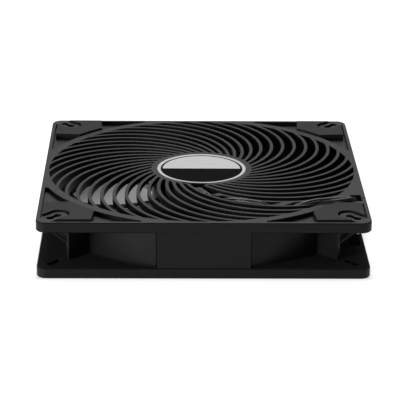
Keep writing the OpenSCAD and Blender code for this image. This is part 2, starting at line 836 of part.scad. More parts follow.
// Plastic end piece: a cross with a raised rim outside each winding
module insulator() {
    linear_extrude(insulator_t) {
        ring_2d(core_ring_r, core_in_r);
        for (k = [0 : pole_count - 1]) rotate(k * 360 / pole_count)
            translate([core_ring_r - 1, -arm_w / 2]) square([rim_in_r - core_ring_r + 1.4, arm_w]);
    }
    linear_extrude(insulator_rim)
        for (k = [0 : pole_count - 1]) rotate(k * 360 / pole_count)
            sector_2d(rim_in_r + 0.8, rim_in_r, -20, 20);
}

module upper_insulator() {
    color("ivory")
    translate([0, 0, stack_top]) insulator();
}

module lower_insulator() {
    color("ivory")
    translate([0, 0, stack_z]) mirror([0, 0, 1]) insulator();
}

// One winding: a rectangular loop round an arm and its end pieces
module winding() {
    inner_w = arm_w + 0.2;
    inner_h = stack_h + 2 * insulator_t + 0.2;
    translate([coil_in, 0, motor_z]) rotate([90, 0, 90]) linear_extrude(coil_out - coil_in)
        difference() {
            square([inner_w + 2 * winding_t, inner_h + 2 * winding_t], center = true);
            square([inner_w, inner_h], center = true);
        }
}

module stator_coils() {
    color("chocolate")
    for (k = [0 : pole_count - 1]) rotate(k * 360 / pole_count) winding();
}

// Pins that carry the ends of the windings up through the board
module terminal_pins() {
    color(steel)
    for (k = [0 : pole_count - 1]) rotate(45 + k * 360 / pole_count)
        translate([pin_ring_r, 0, stack_top + insulator_t])
            cylinder(r = pin_r, h = board_top + 1 - stack_top - insulator_t, $fn = 24);
}

// Electronics

module circuit_board() {
    color("darkgreen")
    translate([0, 0, board_z]) linear_extrude(board_t)
        difference() {
            ring_2d(board_r, tube_boss_r + 0.2);
            for (k = [0 : pole_count - 1]) rotate(45 + k * 360 / pole_count)
                translate([pin_ring_r, 0]) circle(pin_r + 0.08, $fn = 24);
        }
}

// A small part of the given size, on the board's top or hung below it
module board_part(angle, r, size, below) {
    rotate(angle) translate([r - size[0] / 2, -size[1] / 2, below ? board_z - size[2] : board_top])
        cube(size);
}

module driver_chip() {
    color([0.12, 0.12, 0.12]) board_part(200, 17, [4, 5, 1.4], true);
}

module hall_sensor() {
    color([0.12, 0.12, 0.12]) board_part(45, board_r - 3, [2.6, 3, 1.3], true);
}

module board_capacitor() {
    color("tan")
    rotate(120) translate([17, 0, board_top]) cylinder(r = 2.2, h = 2.4);
}

module board_resistors() {
    color([0.15, 0.15, 0.16])
    for (a = [20, 40, 60]) board_part(a, 18, [2, 1.25, 0.6], false);
}

// Lead

// Sideways and upward shift of one wire, from flat ribbon to twisted bundle
function wire_shift(k, f, turn) =
    let (w = min(max((f - flat_until) / (twist_from - flat_until), 0), 1),
         blend = w * w * (3 - 2 * w),
         a = bundle_angles[k] + turn)
    (1 - blend) * [flat_pitch * (k - 1), 0] + blend * bundle_r * [cos(a), sin(a)];

// Distance run at each point of a path
function run_lengths(p) =
    [for (i = 0, s = 0; i < len(p); i = i + 1, s = i < len(p) ? s + norm(p[i] - p[i - 1]) : s) s];

module lead_wires() {
    q = route_points(held_route, held_steps);
    t = tangents(q);
    s = sideways(t, [1, -0.4, 0]);
    n = len(q);
    run = run_lengths(q);
    whole = run[n - 1];
    start = twist_from * whole;
    color(black)
    for (k = [0 : 2]) {
        path = [for (i = [0 : n - 1])
                    let (turn = 360 * max(run[i] - start, 0) / twist_pitch,
                         d = wire_shift(k, run[i] / whole, turn))
                    q[i] + d[0] * s[i] + d[1] * cross(t[i], s[i])];
        swept_tube(path, t, s, wire_d / 2, wire_sides);
    }
}

module lead_run() {
    color(black)
    plain_tube(free_route, free_steps, lead_r, wire_sides, [1, 0, 0]);
}

// Height and radius of the coil's path, in turns from its start: in, up, and out again
function coil_radius(n) =
    n < coil_in_turns ? coil_outer_r - coil_pitch * n
    : n < coil_in_turns + coil_climb_turns
        ? coil_inner_r - coil_dip * sin(180 * (n - coil_in_turns) / coil_climb_turns)
        : coil_inner_r + coil_pitch * (n - coil_in_turns - coil_climb_turns);

function coil_height(n) =
    let (w = min(max((n - coil_in_turns) / coil_climb_turns, 0), 1))
    coil_z + coil_pitch * w * w * (3 - 2 * w);

coil_path = [for (i = [0 : coil_turns * coil_rings])
                 let (n = i / coil_rings)
                 [coil_centre[0] + coil_radius(n) * cos(360 * n),
                  coil_centre[1] + coil_radius(n) * sin(360 * n), coil_height(n)]];
coil_gaps = [for (i = [0 : len(coil_path) - 1], j = [i + 8 : 1 : len(coil_path) - 1])
                 norm(coil_path[i] - coil_path[j])];
echo(coil_least_gap = min(coil_gaps) - 2 * lead_r);

module lead_coil() {
    n = len(coil_path) - 1;
    path = [coil_start, each coil_path, coil_stop];
    t = [[0, 1, 0], for (i = [0 : n]) i == 0 ? [0, 1, 0] : i == n ? [-1, 0, 0]
             : unit(coil_path[i + 1] - coil_path[i - 1]), [-1, 0, 0]];
    color(black)
    swept_tube(path, t, sideways(t, [1, 0, 0]), lead_r, coil_sides);
}

module lead_end() {
    color(black)
    plain_tube(end_route, end_steps, lead_r, wire_sides, [0, 0, 1]);
}

// Flat band round the coil's two layers, on the side away from the lead
module lead_tie() {
    low = coil_z - lead_r - 0.1;
    high = coil_z + coil_pitch + lead_r + 0.1;
    inner = coil_inner_r - lead_r - 0.2;
    outer = coil_outer_r - coil_pitch / 2 + lead_r + 0.2;
    color(rubber)
    translate([coil_centre[0], coil_centre[1] + tie_w / 2, 0]) rotate([90, 0, 0])
        linear_extrude(tie_w) difference() {
            translate([-outer - tie_t, low - tie_t])
                square([outer - inner + 2 * tie_t, high - low + 2 * tie_t]);
            translate([-outer, low]) square([outer - inner, high - low]);
        }
}

// Connector

module at_contacts() {
    for (k = [-1 : 1]) translate([plug_x, plug_y + k * pin_pitch, plug_z]) children();
}

module lead_connector() {
    color(black)
    difference() {
        union() {
            translate([plug_x - plug_l, plug_y - plug_w / 2, 0]) cube([plug_l, plug_w, plug_h]);
            for (y = [-1, 1])
                translate([plug_x - plug_l, plug_y + y * pin_pitch - 0.5, plug_h - over])
                    cube([plug_l - 3, 1, 0.8 + over]);
        }
        at_contacts() translate([-plug_l - over, -socket_w / 2, -socket_w / 2])
            cube([socket_l + over, socket_w, socket_w]);
        at_contacts() rotate([0, -90, 0])
            translate([0, 0, 0.2]) cylinder(d = wire_d + 0.2, h = plug_l - 0.4, $fn = 24);
    }
}

module connector_contacts() {
    color("gold")
    at_contacts() translate([-plug_l + 1.2, -contact_w / 2, -contact_w / 2])
        cube([contact_l, contact_w, contact_w]);
}

frame();
outlet_grille();
corner_pads();
hub_label();
impeller();
rotor_yoke();
ring_magnet();
shaft_bush();
shaft();
retaining_clip();
bearing_tube();
sleeve_bearing();
thrust_plate();
oil_seal();
stator_core();
upper_insulator();
lower_insulator();
stator_coils();
terminal_pins();
circuit_board();
driver_chip();
hall_sensor();
board_capacitor();
board_resistors();
lead_wires();
lead_run();
lead_coil();
lead_end();
lead_tie();
lead_connector();
connector_contacts();
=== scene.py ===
import math
import bpy
import numpy as np
from mathutils import Matrix, Vector


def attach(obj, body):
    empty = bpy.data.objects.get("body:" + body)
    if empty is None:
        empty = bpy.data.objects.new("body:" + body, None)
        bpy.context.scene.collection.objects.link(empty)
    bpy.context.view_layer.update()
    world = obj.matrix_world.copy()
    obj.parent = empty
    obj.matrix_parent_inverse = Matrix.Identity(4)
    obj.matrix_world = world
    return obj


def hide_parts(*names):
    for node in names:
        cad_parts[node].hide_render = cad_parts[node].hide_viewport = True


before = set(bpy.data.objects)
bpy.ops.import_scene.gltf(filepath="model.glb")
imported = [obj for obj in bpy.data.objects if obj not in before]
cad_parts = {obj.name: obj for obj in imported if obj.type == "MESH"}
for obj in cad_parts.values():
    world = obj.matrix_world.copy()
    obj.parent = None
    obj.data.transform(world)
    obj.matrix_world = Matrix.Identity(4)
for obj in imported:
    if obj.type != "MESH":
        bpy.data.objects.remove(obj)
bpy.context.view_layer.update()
mm = 0.001
print("frame loaded:", len(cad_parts), "nodes")


# camera: placed by its distance, height and turn about a point in the fan

cameraSetup = {"target": (-0.87, -9.65, 16.0), "distance": 1127.7, "elevation": 19.95,
               "azimuth": -1.075, "roll": 0.507, "lens": 177.01, "sensor": 36.0, "clip": (0.01, 20)}


def makeCamera(setup):
    # back points from the target to the camera, and roll turns the picture about it
    az, el, ro = (math.radians(setup[k]) for k in ("azimuth", "elevation", "roll"))
    back = Vector((math.sin(az) * math.cos(el), -math.cos(az) * math.cos(el), math.sin(el)))
    right = Vector((math.cos(az), math.sin(az), 0))
    up = back.cross(right)
    rolledRight = math.cos(ro) * right + math.sin(ro) * up
    rolledUp = -math.sin(ro) * right + math.cos(ro) * up
    data = bpy.data.cameras.new("camera")
    data.sensor_width = setup["sensor"]
    data.lens = setup["lens"]
    data.clip_start, data.clip_end = setup["clip"]
    cam = bpy.data.objects.new("camera", data)
    place = Matrix((rolledRight, rolledUp, back)).transposed().to_4x4()
    place.translation = (Vector(setup["target"]) + back * setup["distance"]) * mm
    cam.matrix_world = place
    bpy.context.scene.collection.objects.link(cam)
    bpy.context.scene.camera = cam


makeCamera(cameraSetup)
print("camera placed")


# mesh helpers

def gridFaces(rows, cols, closeRows=False, closeCols=False):
    # quads of a grid of points, wrapped round where asked
    i = np.arange(rows if closeRows else rows - 1)
    j = np.arange(cols if closeCols else cols - 1)
    i, j = (a.ravel() for a in np.meshgrid(i, j, indexing="ij"))
    i2, j2 = (i + 1) % rows, (j + 1) % cols
    return np.stack([i * cols + j, i2 * cols + j, i2 * cols + j2, i * cols + j2], 1)


def meshFrom(name, points, quads, tris=None, uv=None):
    # points in millimetres, faces as arrays of corners, uv as one pair for each corner
    mesh = bpy.data.meshes.new(name)
    faces = list(map(tuple, quads.tolist()))
    if tris is not None:
        faces += list(map(tuple, tris.tolist()))
    mesh.from_pydata((points * mm).tolist(), [], faces)
    if uv is not None:
        layer = mesh.uv_layers.new(name="surface")
        layer.data.foreach_set("uv", uv.astype(np.float32).ravel())
    mesh.polygons.foreach_set("use_smooth", np.ones(len(mesh.polygons), bool))
    mesh.update()
    obj = bpy.data.objects.new(name, mesh)
    bpy.context.scene.collection.objects.link(obj)
    return obj


def unit(v):
    return v / np.linalg.norm(v, axis=-1, keepdims=True)


def alongRoute(points, steps):
    # smooth curve through the points: a cubic on each stretch, from its neighbours' slopes
    p = np.array(points, float)
    n = len(p) - 1
    s = np.linspace(0, n, steps + 1)
    i = np.minimum(s.astype(int), n - 1)
    f = (s - i)[:, None]
    a, b, c, d = p[np.maximum(i - 1, 0)], p[i], p[i + 1], p[np.minimum(i + 2, n)]
    slope = (c - a) / 2
    bend = a - 2.5 * b + 2 * c - d / 2
    change = 1.5 * (b - c) + (d - a) / 2
    return b + f * (slope + f * (bend + f * change))


def runLength(p):
    return np.concatenate([[0], np.cumsum(np.linalg.norm(np.diff(p, axis=0), axis=1))])


def evenly(p, step):
    # the same line with its points a fixed distance apart
    run = runLength(p)
    at = np.linspace(0, run[-1], int(round(run[-1] / step)) + 1)
    return np.stack([np.interp(at, run, p[:, k]) for k in range(3)], 1)


def smoothStep(x, low, high):
    w = np.clip((x - low) / (high - low), 0, 1)
    return w * w * (3 - 2 * w)


def tubePoints(path, radius, sides):
    # a circle carried along a path, square to it; steep stretches turn it by a level direction
    t = unit(np.gradient(path, axis=0))
    steep = np.abs(t[:, 2:]) > 0.8
    ref = np.where(steep, [[1.0, 0.2, 0.0]], [[0.0, 0.0, 1.0]])
    side = unit(np.cross(ref, t))
    up = np.cross(t, side)
    a = np.linspace(0, 2 * np.pi, sides, endpoint=False)
    ring = np.cos(a)[None, :, None] * side[:, None] + np.sin(a)[None, :, None] * up[:, None]
    return path[:, None] + radius * ring


# lead: three wires from the circuit board to the connector, flat at first and then twisted

lead = {
    "wireRadius": 0.55, "bundleRadius": 0.775, "flatPitch": 1.3, "twistPitch": 150.0,
    "bundleAngles": (150, 270, 30), "step": 0.6, "sides": 12,
    "flatUntil": 22.5, "twistFrom": 32.0, "leanFrom": 30.0, "leanUntil": 6.0, "leanTo": (-0.5, 0.55, 0.66),
    "held": [(-8.16, -16.02, 27.9), (-6.54, -20.13, 28), (-5.09, -23.97, 28.4), (-3.61, -28.19, 29.6),
             (-2.42, -31.89, 30.9), (-0.15, -36.6, 30.9), (2.28, -39.82, 30.4), (4.75, -42.95, 29.4),
             (7.47, -45.77, 29.2), (10.72, -48.42, 29.7), (14.09, -50.77, 31.3), (19.07, -53.61, 32.3),
             (25.06, -56.19, 32.3), (31.11, -57.98, 31.6), (35.62, -58.84, 30.2), (39.91, -59.29, 29.3),
             (47.44, -59.27, 29.3), (51.86, -58.76, 30.7), (56.77, -58.2, 32.4), (61.9, -57.5, 33.3),
             (68, -56.7, 33.35), (74, -55.8, 33.35), (79, -54.8, 33.35), (81.8, -53.9, 33.1),
             (83.3, -53.2, 31.7), (83.6, -53.1, 29), (83.6, -53, 26.2)],
    "run": [(83.6, -53, 26.2), (83.6, -52.6, 22.02), (83.9, -50.8, 17.08), (84.6, -47.6, 12.14),
            (85.6, -44, 9.1), (87, -40, 7.58), (88.6, -36.2, 7.2), (90.4, -32, 7.2), (91.9, -27.4, 6.7),
            (92.8, -21, 4.6), (93, -15, 2.6), (93.2, -8, 1.6), (93.2, 0, 1.5), (93.2, 14.8, 1.5),
            (93.2, 29.6, 1.5), (93.2, 44.4, 1.5), (93.2, 59.2, 1.5), (93.2, 74, 1.5), (93, 82, 1.5),
            (91.4, 89, 1.6), (87.2, 95, 1.8), (83, 100, 2), (82.6, 104.35, 2), (82.6, 107.35, 2)],
    "end": [(64.35, 124.8, 5.19), (61.35, 124.8, 5.19), (57, 124.7, 4.6), (52, 124.4, 3.6),
            (47, 124.2, 3), (43.5, 124.2, 2.9), (41, 124.2, 2.9)],
    "coil": {"centre": (67, 110), "z": 2.0, "pitch": 3.19, "outer": 15.6, "dip": 0.8,
             "inTurns": 1.0, "climbTurns": 0.5, "outTurns": 0.75, "perTurn": 48},
    "entryPitch": 2.54, "fanOut": 13.0, "fanEnd": 3.0, "routeSteps": {"held": 400, "run": 500, "end": 100},
}


def coilRoute(c):
    # a spiral that runs in, climbs half a turn to the second layer and runs out again
    turns = c["inTurns"] + c["climbTurns"] + c["outTurns"]
    n = np.linspace(0, turns, int(turns * c["perTurn"]) + 1)
    climb = np.clip((n - c["inTurns"]) / c["climbTurns"], 0, 1)
    out = np.maximum(n - c["inTurns"] - c["climbTurns"], 0)
    r = c["outer"] - c["pitch"] * np.minimum(n, c["inTurns"])
    r = r - c["dip"] * np.sin(np.pi * climb) + c["pitch"] * out
    z = c["z"] + c["pitch"] * climb * climb * (3 - 2 * climb)
    a = 2 * np.pi * n
    return np.stack([c["centre"][0] + r * np.cos(a), c["centre"][1] + r * np.sin(a), z], 1)


def leadLine(spec):
    # the whole lead's middle line, with the length of its held part
    held, run, end = (alongRoute(spec[part], steps) for part, steps in spec["routeSteps"].items())
    line = np.concatenate([held, run[1:], coilRoute(spec["coil"]), end])
    heldLength = runLength(held)[-1]
    return evenly(line, spec["step"]), heldLength


def wireLines(spec, line, heldLength):
    # each wire's shift from the middle line goes from a flat row to a turning triangle and,
    # before the connector, back to a row as wide as the connector's entries; near the hole the
    # upward direction leans over, so that it is never in line with the lead
    run = runLength(line)
    t = unit(np.gradient(line, axis=0))
    lean = smoothStep(run, heldLength - spec["leanFrom"], heldLength - spec["leanUntil"])[:, None]
    ref = unit((1 - lean) * np.array([[0.0, 0.0, 1.0]]) + lean * np.array([spec["leanTo"]]))
    side = unit(np.cross(t, ref))
    up = np.cross(side, t)
    twisted = smoothStep(run, spec["flatUntil"], spec["twistFrom"])
    fan = smoothStep(run, run[-1] - spec["fanOut"], run[-1] - spec["fanEnd"])
    turn = 2 * np.pi * np.maximum(run - spec["twistFrom"], 0) / spec["twistPitch"]
    wires = []
    for k, start in enumerate(spec["bundleAngles"]):
        a = math.radians(start) + turn
        across = (1 - twisted) * spec["flatPitch"] * (k - 1) + twisted * spec["bundleRadius"] * np.cos(a)
        above = twisted * spec["bundleRadius"] * np.sin(a)
        shift = across[:, None] * side + above[:, None] * up
        entry = np.array([[0.0, spec["entryPitch"] * (k - 1), 0.0]])
        wires.append(line + (1 - fan)[:, None] * shift + fan[:, None] * entry)
    return wires


def wireMesh(name, spec, lines):
    # three closed tubes in one mesh, with a UV that runs along and round each wire
    sides = spec["sides"]
    k = np.arange(1, sides - 1)
    cap = np.stack([np.zeros_like(k), k, k + 1], 1)
    points, quads, tris, uv, uvTris = [], [], [], [], []
    base = 0
    for line in lines:
        n = len(line)
        tube = tubePoints(line, spec["wireRadius"], sides)
        body = gridFaces(n, sides, closeCols=True)[:, ::-1]
        i, j = body // sides, body % sides
        # the last faces round end at a full turn, not back at nought
        lastRound = (j == 0) & (j.max(1, keepdims=True) == sides - 1)
        around = np.where(lastRound, sides, j) / sides
        along = runLength(line) * mm
        uv.append(np.stack([along[i], around], 2).reshape(-1, 2))
        caps = np.concatenate([cap[:, ::-1], cap + (n - 1) * sides])
        points.append(tube.reshape(-1, 3))
        quads.append(body + base)
        tris.append(caps + base)
        uvTris.append(np.zeros((caps.size, 2)))
        base += n * sides
    return meshFrom(name, np.concatenate(points), np.concatenate(quads), np.concatenate(tris),
                    np.concatenate(uv + uvTris))


leadMiddle, heldLength = leadLine(lead)
leadWires = wireLines(lead, leadMiddle, heldLength)
splitAt = int(np.searchsorted(runLength(leadMiddle), heldLength))
heldLead = wireMesh("held_lead", lead, [w[:splitAt + 1] for w in leadWires])
freeLead = wireMesh("free_lead", lead, [w[splitAt:] for w in leadWires])


# tie: a flat band with rounded corners round the coil's two layers

coilTie = {"centre": (53.8, 110.0, 3.59), "half": (2.33, 3.02), "corner": 1.0, "thick": 0.5, "width": 3.0,
           "count": 64, "sectionWidth": 1.04,
           "section": [(0, -0.5), (0, 0.5), (0.15, 0.52), (0.85, 0.52),
                       (1, 0.5), (1, -0.5), (0.85, -0.52), (0.15, -0.52)]}


def bandLoop(spec, grow):
    # a rounded rectangle in the XZ plane: a circle of the corner's radius, pulled apart at its quarters
    a = np.linspace(0, 2 * np.pi, spec["count"], endpoint=False)
    cx, cy, cz = spec["centre"]
    hx, hz = spec["half"]
    r = spec["corner"]
    x = np.sign(np.cos(a)) * (hx - r) + (r + grow) * np.cos(a)
    z = np.sign(np.sin(a)) * (hz - r) + (r + grow) * np.sin(a)
    return np.stack([x + cx, np.full(spec["count"], cy), z + cz], 1)


def makeTie(spec):
    # the band's section is a flat rectangle with eased edges, carried round the loop; its points are
    # shares of the thickness and of the width
    rings = np.stack([bandLoop(spec, spec["thick"] * out)
                      + np.array([0, spec["width"] * across / spec["sectionWidth"], 0])
                      for out, across in spec["section"]], 1)
    faces = gridFaces(spec["count"], len(spec["section"]), closeRows=True, closeCols=True)
    return meshFrom("coil_tie", rings.reshape(-1, 3), faces)


tieBand = makeTie(coilTie)
print("tie made")


# impeller: seven blades, swept at the tip, on a round cup

blades = {"count": 7, "turn": 28.0, "root": 27.7, "tip": 86.0, "span": (44.2, 45.5), "sweep": 28.7,
          "lowZ": (4.8, 4.8), "rise": (16.7, 13.3), "bow": 0.17, "half": 1.0, "edgeHalf": 0.3,
          "edgeReach": 3, "tipRound": 0.012, "tipLeast": 0.02, "swell": 0.9, "swellFrom": 0.7,
          "swellReach": 1.3, "rows": 44, "tipRows": 6, "cols": 28}
# corners of the cup's section from the axis round to the axis: radius, height and rounding
hubCup = {"section": [(0, 2.4, 0), (28.4, 2.4, 2.5), (28.4, 24.2, 0.3), (27, 24.2, 0.3), (27, 4.4, 0.5),
                      (6.9, 4.4, 0.4), (6.9, 7.4, 0.3), (4.45, 7.4, 0.2), (4.45, 3.2, 0.1), (0, 3.2, 0)],
          "roundSteps": 6, "sides": 160}


def outward(points, quads, tris):
    # turns every face round if the closed shape's volume comes out negative
    fans = np.concatenate([quads[:, [0, 1, 2]], quads[:, [0, 2, 3]], tris])
    a, b, c = (points[fans[:, k]] for k in range(3))
    if np.einsum("ij,ij->i", a, np.cross(b, c)).sum() < 0:
        return quads[:, ::-1], tris[:, ::-1]
    return quads, tris


def bladeMesh(spec):
    # u runs from root to tip and w round the section. The angle falls with u squared and grows along
    # the chord v, the height rises along the chord with a slight bow, and the skins lie half a
    # thickness above and below, meeting in round edges and swelling out at the root
    tip = spec["tipRound"]
    s = np.linspace(0, 1, spec["rows"])
    q = np.linspace(0, np.pi / 2, spec["tipRows"])
    u = np.concatenate([s[:-1] * (1 - tip), 1 - tip * (1 - np.sin(q))])[:, None]
    ease = np.sqrt(np.clip(1 - ((u - 1 + tip) / tip).clip(0, 1) ** 2, spec["tipLeast"], 1))
    loop = 2 * spec["cols"]
    w = np.linspace(0, 2 * np.pi, loop, endpoint=False)[None]
    v = 0.5 - 0.5 * np.cos(w)
    r = spec["root"] + (spec["tip"] - spec["root"]) * u
    thin = spec["edgeHalf"] * np.sqrt(np.clip(np.abs(np.sin(w)) * spec["edgeReach"], 0, 1))
    half = thin + (spec["half"] - spec["edgeHalf"]) * np.sqrt(np.clip(np.sin(np.pi * v), 0, 1))
    swell = spec["swell"] * np.exp((spec["root"] + spec["swellFrom"] - r) / spec["swellReach"])
    half = half * ease * (1 + swell)
    low, rise, span = ((a + (b - a) * u) for a, b in (spec["lowZ"], spec["rise"], spec["span"]))
    z = low + rise * (v + spec["bow"] * np.sin(np.pi * v)) + np.sign(np.sin(w)) * half
    turns = spec["turn"] + 360 / spec["count"] * np.arange(spec["count"])
    angle = np.radians(turns[:, None, None] + (span * v - spec["sweep"] * u * u)[None])
    points = np.stack([r * np.cos(angle), r * np.sin(angle), np.broadcast_to(z, angle.shape)], -1)
    rows = len(u)
    j = np.arange(1, spec["cols"] - 1)
    cap = np.stack([j, j + 1, loop - j - 1, loop - j], 1)
    nose = np.array([[0, 1, loop - 1], [spec["cols"] - 1, spec["cols"], spec["cols"] + 1]])
    top = (rows - 1) * loop
    quads = np.concatenate([gridFaces(rows, loop, closeCols=True), cap, cap[:, ::-1] + top])
    tris = np.concatenate([nose, nose[:, ::-1] + top])
    quads, tris = outward(points[0].reshape(-1, 3), quads, tris)
    shift = (np.arange(spec["count"]) * rows * loop)[:, None, None]
    quads, tris = (quads[None] + shift).reshape(-1, 4), (tris[None] + shift).reshape(-1, 3)
    return points.reshape(-1, 3), quads, tris


def roundCorners(section, steps):
    # each corner of the section becomes a smooth curve between the points where its rounding leaves
    # the two sides
    out = [np.array([section[0][:2]], float)]
    for before, here, after in zip(section, section[1:], section[2:]):
        p, corner, n = (np.array(q[:2], float) for q in (before, here, after))
        back, on = unit(p - corner), unit(n - corner)
        t = np.linspace(0, 1, steps)[:, None]
        out.append(corner + here[2] * (back * (1 - t) ** 2 + on * t ** 2))
    out.append(np.array([section[-1][:2]], float))
    return np.concatenate(out)


def lathe(section, count):
    # the section turned about the axis, with one point at each end on the axis
    a = np.linspace(0, 2 * np.pi, count, endpoint=False)
    r, z = section[1:-1, 0][:, None], section[1:-1, 1][:, None]
    rings = np.stack([r * np.cos(a), r * np.sin(a), np.broadcast_to(z, (len(r), count))], -1)
    rings = rings.reshape(-1, 3)
    ends = np.array([[0, 0, section[0, 1]], [0, 0, section[-1, 1]]])
    k = np.arange(count)
    n = len(rings)
    first = np.stack([np.full(count, n), k, (k + 1) % count], 1)
    last = np.stack([np.full(count, n + 1), n - count + (k + 1) % count, n - count + k], 1)
    points = np.concatenate([rings, ends])
    quads = gridFaces(len(r), count, closeCols=True)
    return (points,) + outward(points, quads, np.concatenate([first, last]))


def makeImpeller(spec, cup):
    points, quads, tris = bladeMesh(spec)
    cupPoints, cupQuads, cupTris = lathe(roundCorners(cup["section"], cup["roundSteps"]), cup["sides"])
    shift = len(points)
    return meshFrom("impeller_blades", np.concatenate([points, cupPoints]),
                    np.concatenate([quads, cupQuads + shift]), np.concatenate([tris, cupTris + shift]))


impeller = makeImpeller(blades, hubCup)
print("impeller made:", len(impeller.data.polygons), "faces")


# node groups that several finishes share

def newGroup(name, inputs, outputs):
    tree = bpy.data.node_groups.new(name, "ShaderNodeTree")
    for label, kind, value in inputs:
        socket = tree.interface.new_socket(label, in_out="INPUT", socket_type="NodeSocket" + kind)
        socket.default_value = value
    for label, kind in outputs:
        tree.interface.new_socket(label, in_out="OUTPUT", socket_type="NodeSocket" + kind)
    return tree, tree.nodes.new("NodeGroupInput"), tree.nodes.new("NodeGroupOutput")


def addNode(tree, kind, links=None, **values):
    # makes a node, sets its options and input values, and links what is given by socket
    node = tree.nodes.new("ShaderNode" + kind)
    for key, value in values.items():
        if key.startswith("in"):
            node.inputs[int(key[2:])].default_value = value
        else:
            setattr(node, key, value)
    for key, socket in (links or {}).items():
        tree.links.new(socket, node.inputs[key])
    return node


def mathNode(tree, operation, a, b=None):
    node = tree.nodes.new("ShaderNodeMath")
    node.operation = operation
    for k, v in enumerate((a, b)):
        if v is None:
            continue
        if isinstance(v, (int, float)):
            node.inputs[k].default_value = v
        else:
            tree.links.new(v, node.inputs[k])
    return node.outputs[0]


def mixColour(tree, mask, a, b):
    node = tree.nodes.new("ShaderNodeMix")
    node.data_type = "RGBA"
    tree.links.new(mask, node.inputs[0])
    for socket, v in ((node.inputs[6], a), (node.inputs[7], b)):
        if isinstance(v, tuple):
            socket.default_value = (*v, 1)
        else:
            tree.links.new(v, socket)
    return node.outputs[2]


def rangeNode(tree, value, low, high, toLow=0.0, toHigh=1.0, smooth=False):
    node = tree.nodes.new("ShaderNodeMapRange")
    node.interpolation_type = "SMOOTHSTEP" if smooth else "LINEAR"
    for k, v in zip((1, 2, 3, 4), (low, high, toLow, toHigh)):
        node.inputs[k].default_value = v
    tree.links.new(value, node.inputs[0])
    return node.outputs[0]


skinNoise = {"slow": 70.0, "speck": 900.0, "speckShown": (0.7, 0.82), "dust": (0.5, 0.49, 0.47),
             "fineShare": 0.5}


def makeGrainGroup(spec):
    # moulded skin: a fine spark-eroded grain, slow changes of tone and gloss, and pale dust specks
    tree, gin, gout = newGroup(
        "mouldedSkin",
        [("Colour", "Color", (0.02, 0.02, 0.02, 1)), ("Tone", "Float", 0.25), ("Roughness", "Float", 0.45),
         ("Spread", "Float", 0.1), ("Grain", "Float", 2600.0), ("Dust", "Float", 0.02)],
        [("Colour", "Color"), ("Roughness", "Float"), ("Height", "Float")])
    place = addNode(tree, "TexCoord").outputs["Object"]
    fine = addNode(tree, "TexNoise", {"Vector": place, "Scale": gin.outputs["Grain"]}, in3=2.0).outputs[0]
    slow = addNode(tree, "TexNoise", {"Vector": place}, in2=spec["slow"], in3=3.0).outputs[0]
    speck = addNode(tree, "TexNoise", {"Vector": place}, in2=spec["speck"], in3=1.0).outputs[0]
    swing = mathNode(tree, "SUBTRACT", slow, 0.5)
    bright = mathNode(tree, "ADD", mathNode(tree, "MULTIPLY", swing, gin.outputs["Tone"]), 1.0)
    toned = addNode(tree, "VectorMath", {0: gin.outputs["Colour"], 3: bright}, operation="SCALE").outputs[0]
    dust = mathNode(tree, "MULTIPLY", rangeNode(tree, speck, *spec["speckShown"]), gin.outputs["Dust"])
    shown = mixColour(tree, dust, toned, spec["dust"])
    spread = gin.outputs["Spread"]
    rough = mathNode(tree, "ADD", gin.outputs["Roughness"], mathNode(tree, "MULTIPLY", swing, spread))
    fineSpread = mathNode(tree, "MULTIPLY", spread, spec["fineShare"])
    rough = mathNode(tree, "ADD", rough, mathNode(tree, "MULTIPLY", fine, fineSpread))
    tree.links.new(shown, gout.inputs[0])
    tree.links.new(rough, gout.inputs[1])
    tree.links.new(fine, gout.inputs[2])
    return tree


def makeStripeGroup():
    # fine parallel lines along one direction, as on brushed metal, sheet stacks and windings
    tree, gin, gout = newGroup(
        "fineLines",
        [("Stretch", "Vector", (1.0, 1.0, 1.0)), ("Scale", "Float", 800.0), ("Detail", "Float", 2.0)],
        [("Mask", "Float"), ("Height", "Float")])
    place = addNode(tree, "TexCoord").outputs["Object"]
    stretch = {0: place, 1: gin.outputs["Stretch"]}
    mapped = addNode(tree, "VectorMath", stretch, operation="MULTIPLY").outputs[0]
    noise = {"Vector": mapped, "Scale": gin.outputs["Scale"], "Detail": gin.outputs["Detail"]}
    lines = addNode(tree, "TexNoise", noise).outputs[0]
    tree.links.new(rangeNode(tree, lines, 0.3, 0.7), gout.inputs[0])
    tree.links.new(lines, gout.inputs[1])
    return tree


mouldedSkin = makeGrainGroup(skinNoise)
fineLines = makeStripeGroup()
print("node groups made")


# finishes

def newFinish(name):
    mat = bpy.data.materials.new(name)
    mat.use_nodes = True
    tree = mat.node_tree
    return mat, tree, tree.nodes["Principled BSDF"]


def useGroup(tree, group, **values):
    node = tree.nodes.new("ShaderNodeGroup")
    node.node_tree = group
    for key, value in values.items():
        node.inputs[key].default_value = value
    return node


def addBump(tree, shader, height, strength, distance):
    bump = tree.nodes.new("ShaderNodeBump")
    bump.inputs["Strength"].default_value = strength
    bump.inputs["Distance"].default_value = distance
    tree.links.new(height, bump.inputs["Height"])
    tree.links.new(bump.outputs[0], shader.inputs["Normal"])


# values of a finish that doesn't give its own
mouldUsual = {"tone": 0.3, "spread": 0.12, "grain": 2600.0, "dust": 0.02, "bump": 0.25, "depth": 0.00004,
              "specular": 0.3}
metalUsual = {"stretch": (1, 1, 12), "scale": 900.0, "dark": 0.75, "bump": 0.2, "depth": 0.00003,
              "glossier": 0.08, "duller": 0.1}


